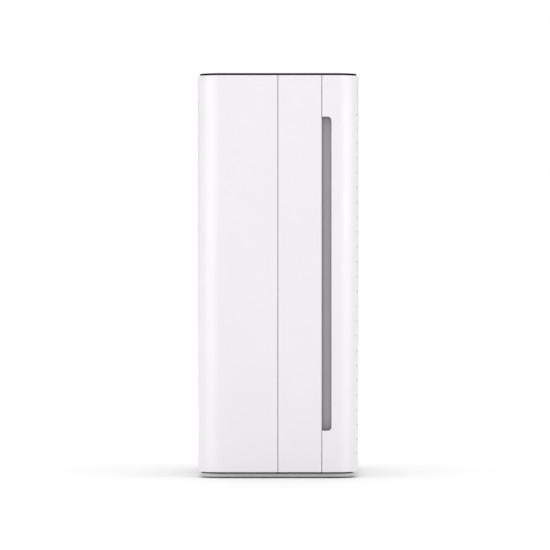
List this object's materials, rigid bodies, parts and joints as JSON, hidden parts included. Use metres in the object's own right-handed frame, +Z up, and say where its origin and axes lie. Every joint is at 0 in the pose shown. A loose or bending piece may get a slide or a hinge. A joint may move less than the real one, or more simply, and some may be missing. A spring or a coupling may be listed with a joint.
{
  "type": "home battery unit",
  "caption": "Slim white floor-standing home battery with a glossy black top, side air slots, pull-off front cover and rear terminal bay.",
  "frame": {"origin": "on the floor under the middle of the unit", "axes": "+Z up, -Y out of the front cover, +Y out of the rear face, X along the width"},
  "size_m": [0.4, 0.24, 0.604],
  "materials": {
    "white_shell": "fine satin moulding",
    "black_glass": "polished",
    "plinth_white": "satin",
    "rubber": "matt",
    "grey_plastic": "satin",
    "dark_plastic": "satin",
    "black_plastic": "fine spark-eroded texture",
    "light_plastic": "satin",
    "circuit_board": "solder mask",
    "sheet_steel": "galvanised",
    "pin_steel": "ground",
    "aluminium_fins": "extruded",
    "cell_wrap": "shrink wrap over an aluminium can",
    "copper": "bare copper",
    "brass": "turned",
    "fuse_body": "glazed"
  },
  "bodies": {
    "cabinet": {"mid_frame": "white_shell", "rear_shell": "white_shell", "top_glass": "black_glass", "top_deck": "dark_plastic", "display_board": "circuit_board", "plinth": "plinth_white", "foot_front_left": "rubber", "foot_front_right": "rubber", "foot_rear_left": "rubber", "foot_rear_right": "rubber", "inner_housing": "grey_plastic", "fan_frame_left": "black_plastic", "fan_frame_right": "black_plastic", "chassis_floor": "sheet_steel", "chassis_frame": "sheet_steel", "chassis_back": "sheet_steel", "hook_rail": "sheet_steel", "cell_left_1": "cell_wrap", "cell_left_2": "cell_wrap", "cell_left_3": "cell_wrap", "cell_left_4": "cell_wrap", "cell_left_5": "cell_wrap", "cell_left_6": "cell_wrap", "cell_left_7": "cell_wrap", "cell_left_8": "cell_wrap", "clamp_plate_left": "sheet_steel", "busbar_plate_left": "copper", "cell_right_1": "cell_wrap", "cell_right_2": "cell_wrap", "cell_right_3": "cell_wrap", "cell_right_4": "cell_wrap", "cell_right_5": "cell_wrap", "cell_right_6": "cell_wrap", "cell_right_7": "cell_wrap", "cell_right_8": "cell_wrap", "clamp_plate_right": "sheet_steel", "busbar_plate_right": "copper", "bms_board": "circuit_board", "contactor": "dark_plastic", "main_fuse": "fuse_body", "breaker_body": "light_plastic", "button_switch": "black_plastic", "inverter_board": "circuit_board", "heat_sink": "aluminium_fins", "capacitor_bank": "black_plastic", "choke_left": "copper", "choke_right": "copper", "terminal_tray": "dark_plastic", "door_pin": "pin_steel", "ac_gland": "black_plastic", "ground_stud": "brass", "dc_plug_minus": "black_plastic", "dc_plug_plus": "black_plastic", "data_port_cap": "rubber"},
    "front_cover": {"front_cover": "white_shell"},
    "fan_left": {"fan_rotor_left": "black_plastic"},
    "fan_right": {"fan_rotor_right": "black_plastic"},
    "toggle": {"breaker_toggle": "black_plastic"},
    "button": {"power_button": "light_plastic"},
    "door": {"terminal_door": "white_shell"}
  },
  "joints": [
    {"name": "front_cover_pull", "type": "slide", "parent": "cabinet", "child": "front_cover", "axis": [0, -1, 0], "range_m": [0, 0.1]},
    {"name": "fan_spin_left", "type": "hinge", "parent": "cabinet", "child": "fan_left", "pos_m": [-0.085, -0.0857, 0.225], "axis": [0, 1, 0], "continuous": true},
    {"name": "fan_spin_right", "type": "hinge", "parent": "cabinet", "child": "fan_right", "pos_m": [0.085, -0.0857, 0.225], "axis": [0, 1, 0], "continuous": true},
    {"name": "breaker_flip", "type": "hinge", "parent": "cabinet", "child": "toggle", "pos_m": [0.12, -0.098, 0.515], "axis": [1, 0, 0], "range_deg": [0, 50]},
    {"name": "button_press", "type": "slide", "parent": "cabinet", "child": "button", "axis": [0, 1, 0], "range_m": [0, 0.0015], "stiffness_N_per_m": 800, "springref_m": -0.001},
    {"name": "door_swing", "type": "hinge", "parent": "cabinet", "child": "door", "pos_m": [0, 0.1175, 0.1006], "axis": [1, 0, 0], "range_deg": [0, 100]}
  ]
}
